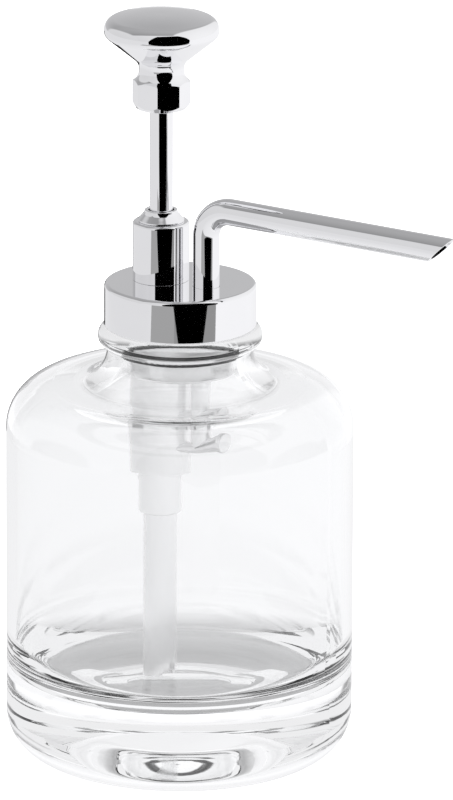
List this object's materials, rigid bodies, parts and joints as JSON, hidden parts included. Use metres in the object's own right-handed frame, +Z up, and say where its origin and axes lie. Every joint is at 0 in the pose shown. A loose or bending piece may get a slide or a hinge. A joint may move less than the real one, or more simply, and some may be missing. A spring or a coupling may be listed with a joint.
{
  "type": "countertop pump soap dispenser",
  "caption": "Clear glass bottle with a chrome lift-out pump head: round push knob on a rod, fixed bent spout, plastic pump and dip tube inside.",
  "frame": {"origin": "on the bottle's axis at the level it stands on", "axes": "+Z up along the bottle's axis, +X towards the spout's mouth, +Y sideways"},
  "size_m": [0.1276, 0.092, 0.2016],
  "materials": {
    "glass": "clear polished",
    "chrome": "polished",
    "white_plastic": "moulded, slightly translucent",
    "black_rubber": "matt",
    "steel": "drawn"
  },
  "bodies": {
    "bottle": {"glass_bottle": "glass"},
    "neck_seal": {"neck_seal_ring": "black_rubber"},
    "pump_head": {"collar_shell": "chrome", "stopper_plug": "white_plastic", "plunger_guide": "chrome", "guide_bush": "white_plastic", "rod_wiper_seal": "black_rubber", "guide_ring": "chrome", "pump_barrel": "white_plastic", "outlet_arm_plug": "white_plastic", "inlet_valve_housing": "white_plastic", "dip_tube": "white_plastic", "spout_tube": "chrome", "spout_seal_ring": "black_rubber", "return_spring": "steel", "inlet_ball_cage": "white_plastic", "outlet_ball_cage": "white_plastic"},
    "piston": {"piston": "white_plastic", "piston_cup_seal": "black_rubber", "piston_cap": "white_plastic"},
    "knob": {"plunger_rod": "chrome", "pump_knob": "chrome"},
    "inlet_ball": {"inlet_ball": "steel"},
    "outlet_ball": {"outlet_ball": "steel"}
  },
  "joints": [
    {"name": "head_lift", "type": "slide", "parent": "bottle", "child": "neck_seal", "axis": [0, 0, 1], "range_m": [0, 0.11]},
    {"name": "head_turn", "type": "hinge", "parent": "neck_seal", "child": "pump_head", "pos_m": [0, 0, 0.12], "axis": [0, 0, 1], "continuous": true},
    {"name": "plunger_press", "type": "slide", "parent": "pump_head", "child": "piston", "axis": [0, 0, -1], "range_m": [0, 0.0215], "stiffness_N_per_m": 300, "springref_m": -0.0167, "deforming": ["return_spring"]},
    {"name": "knob_spin", "type": "hinge", "parent": "piston", "child": "knob", "pos_m": [-0.00595, 0, 0.12], "axis": [0, 0, 1], "continuous": true},
    {"name": "inlet_ball_lift", "type": "slide", "parent": "pump_head", "child": "inlet_ball", "axis": [0, 0, 1], "range_m": [0, 0.0015]},
    {"name": "outlet_ball_lift", "type": "slide", "parent": "pump_head", "child": "outlet_ball", "axis": [0, 0, 1], "range_m": [0, 0.0015]}
  ]
}
